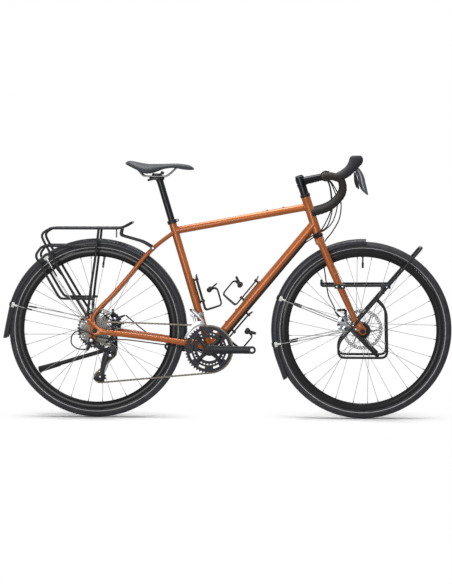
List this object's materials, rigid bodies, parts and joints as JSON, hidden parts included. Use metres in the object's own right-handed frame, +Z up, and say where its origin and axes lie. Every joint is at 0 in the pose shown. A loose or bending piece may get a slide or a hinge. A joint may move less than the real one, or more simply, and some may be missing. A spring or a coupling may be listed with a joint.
{
  "type": "touring bicycle",
  "caption": "Diamond-frame touring bicycle with drop bars, mudguards, a rear rack, a low front rack, bottle cages and disc brakes, for riding with luggage.",
  "frame": {"origin": "middle of the bottom of the bounding box, on the ground between the wheels", "axes": "+X forward along the wheels, +Y to the left of the bicycle, +Z up"},
  "size_m": [1.7732, 0.4708, 1.0251],
  "materials": {
    "frame_paint": "gloss paint, copper orange",
    "black_metal": "satin black anodising",
    "rubber": "matte black",
    "tyre": "matte rubber",
    "black_plastic": "satin black",
    "steel": "bare steel",
    "silver": "polished"
  },
  "bodies": {
    "frame": {"frame": "frame_paint", "headset_upper_cup": "black_metal", "headset_lower_cup": "black_metal", "bottom_bracket": "black_metal", "seat_clamp": "black_metal", "rear_axle": "black_metal", "rear_mudguard": "black_plastic", "rear_mudguard_stays": "steel", "rear_rack": "black_metal", "bottle_cage_seat_tube": "black_metal", "bottle_cage_down_tube": "black_metal", "bottle_cage_under": "black_metal", "rear_brake_caliper": "black_metal", "rear_derailleur_body": "black_metal", "front_derailleur_body": "silver", "chain": "steel", "rear_brake_cable": "black_plastic", "shift_cables": "black_plastic"},
    "seatpost": {"seatpost": "black_metal", "saddle_rails": "steel", "saddle": "rubber"},
    "steering": {"fork": "frame_paint", "stem": "black_metal", "handlebar": "black_metal", "bar_tape_left": "rubber", "bar_tape_right": "rubber", "lever_hood_left": "rubber", "lever_hood_right": "rubber", "front_axle": "black_metal", "front_mudguard": "black_plastic", "front_mudguard_stays": "steel", "front_rack": "black_metal", "front_brake_caliper": "silver", "front_brake_cable": "black_plastic"},
    "brake_lever_left": {"brake_lever_left": "black_metal"},
    "brake_lever_right": {"brake_lever_right": "black_metal"},
    "shift_paddle_left": {"shift_paddle_left": "black_metal"},
    "shift_paddle_right": {"shift_paddle_right": "black_metal"},
    "front_brake_arm": {"front_brake_arm": "silver"},
    "rear_brake_arm": {"rear_brake_arm": "black_metal"},
    "front_wheel": {"front_tyre": "tyre", "front_rim": "black_metal", "front_hub": "black_metal", "front_brake_disc": "steel"},
    "rear_wheel": {"rear_tyre": "tyre", "rear_rim": "black_metal", "rear_hub": "black_metal", "rear_brake_disc": "steel"},
    "cassette": {"cassette": "steel"},
    "crankset": {"crank_right": "black_metal", "crank_left": "black_metal", "chainring_large": "steel", "chainring_small": "steel"},
    "rear_derailleur_link": {"rear_derailleur_link": "black_metal"},
    "rear_derailleur_knuckle": {"rear_derailleur_knuckle": "black_metal"},
    "rear_derailleur_cage": {"rear_derailleur_cage": "black_metal"},
    "guide_pulley": {"guide_pulley": "black_plastic"},
    "tension_pulley": {"tension_pulley": "black_plastic"},
    "front_derailleur_cage": {"front_derailleur_cage": "silver"},
    "kickstand": {"kickstand_leg": "black_metal"}
  },
  "joints": [
    {"name": "steering", "type": "hinge", "parent": "frame", "child": "steering", "pos_m": [0.36056, 0, 0.72572], "axis": [-0.309, 0, 0.9511], "range_deg": [-60, 60], "deforming": ["rear_brake_cable", "shift_cables"]},
    {"name": "seatpost_height", "type": "slide", "parent": "frame", "child": "seatpost", "axis": [-0.284, 0, 0.9588], "range_m": [-0.1, 0.1]},
    {"name": "front_wheel_spin", "type": "hinge", "parent": "steering", "child": "front_wheel", "pos_m": [0.53763, 0, 0.349], "axis": [0, 1, 0], "continuous": true},
    {"name": "rear_wheel_spin", "type": "hinge", "parent": "frame", "child": "rear_wheel", "pos_m": [-0.51237, 0, 0.349], "axis": [0, 1, 0], "continuous": true},
    {"name": "crank_spin", "type": "hinge", "parent": "frame", "child": "crankset", "pos_m": [-0.06444, 0, 0.275], "axis": [0, 1, 0], "continuous": true},
    {"name": "cassette_spin", "type": "hinge", "parent": "frame", "child": "cassette", "pos_m": [-0.51237, 0, 0.349], "axis": [0, 1, 0], "continuous": true},
    {"name": "rear_derailleur_shift", "type": "hinge", "parent": "frame", "child": "rear_derailleur_link", "pos_m": [-0.51237, -0.083, 0.298], "axis": [0.4538, 0.5, 0.7376], "range_deg": [-14, 22], "deforming": ["chain"]},
    {"name": "rear_derailleur_knuckle_level", "type": "hinge", "parent": "rear_derailleur_link", "child": "rear_derailleur_knuckle", "pos_m": [-0.46037, -0.076, 0.266], "axis": [0.4538, 0.5, 0.7376], "range_deg": [-22, 14]},
    {"name": "rear_derailleur_cage_swing", "type": "hinge", "parent": "rear_derailleur_knuckle", "child": "rear_derailleur_cage", "pos_m": [-0.45037, 0, 0.252], "axis": [0, 1, 0], "range_deg": [-40, 16], "stiffness_Nm_per_rad": 0.6},
    {"name": "guide_pulley_spin", "type": "hinge", "parent": "rear_derailleur_cage", "child": "guide_pulley", "pos_m": [-0.45237, -0.0485, 0.262], "axis": [0, 1, 0], "continuous": true},
    {"name": "tension_pulley_spin", "type": "hinge", "parent": "rear_derailleur_cage", "child": "tension_pulley", "pos_m": [-0.49437, -0.0485, 0.164], "axis": [0, 1, 0], "continuous": true},
    {"name": "front_derailleur_shift", "type": "hinge", "parent": "frame", "child": "front_derailleur_cage", "pos_m": [-0.12637, -0.029, 0.408], "axis": [1, 0, 0], "range_deg": [0, 9.5]},
    {"name": "brake_lever_left_pull", "type": "hinge", "parent": "steering", "child": "brake_lever_left", "pos_m": [0.49947, 0.21186, 0.98789], "axis": [0, 1, 0], "range_deg": [0, 22], "stiffness_Nm_per_rad": 1},
    {"name": "brake_lever_right_pull", "type": "hinge", "parent": "steering", "child": "brake_lever_right", "pos_m": [0.49947, -0.21186, 0.98789], "axis": [0, 1, 0], "range_deg": [0, 22], "stiffness_Nm_per_rad": 1},
    {"name": "shift_paddle_left_push", "type": "hinge", "parent": "brake_lever_left", "child": "shift_paddle_left", "pos_m": [0.51947, 0.21186, 0.96339], "axis": [-0.952, 0, 0.306], "range_deg": [0, 15], "stiffness_Nm_per_rad": 0.3},
    {"name": "shift_paddle_right_push", "type": "hinge", "parent": "brake_lever_right", "child": "shift_paddle_right", "pos_m": [0.51947, -0.21186, 0.96339], "axis": [0.952, 0, -0.306], "range_deg": [0, 15], "stiffness_Nm_per_rad": 0.3},
    {"name": "front_brake_arm_pull", "type": "hinge", "parent": "steering", "child": "front_brake_arm", "pos_m": [0.46514, 0.0538, 0.372], "axis": [0, 1, 0], "range_deg": [0, 18], "stiffness_Nm_per_rad": 1, "deforming": ["front_brake_cable"]},
    {"name": "rear_brake_arm_pull", "type": "hinge", "parent": "frame", "child": "rear_brake_arm", "pos_m": [-0.43937, 0.0678, 0.386], "axis": [0, 1, 0], "range_deg": [0, 18], "stiffness_Nm_per_rad": 1},
    {"name": "kickstand_fold", "type": "hinge", "parent": "frame", "child": "kickstand", "pos_m": [-0.45237, 0.0842, 0.26826], "axis": [0, 0.9397, 0.342], "range_deg": [-40.9, 0]}
  ],
  "couplings": [
    {"joint": "cassette_spin", "follows": "crank_spin", "ratio": 2.7059},
    {"joint": "guide_pulley_spin", "follows": "crank_spin", "ratio": -4.1818},
    {"joint": "tension_pulley_spin", "follows": "crank_spin", "ratio": 4.1818},
    {"joint": "rear_derailleur_knuckle_level", "follows": "rear_derailleur_shift", "ratio": -1},
    {"joint": "front_brake_arm_pull", "follows": "brake_lever_right_pull", "ratio": 0.8},
    {"joint": "rear_brake_arm_pull", "follows": "brake_lever_left_pull", "ratio": 0.8}
  ]
}
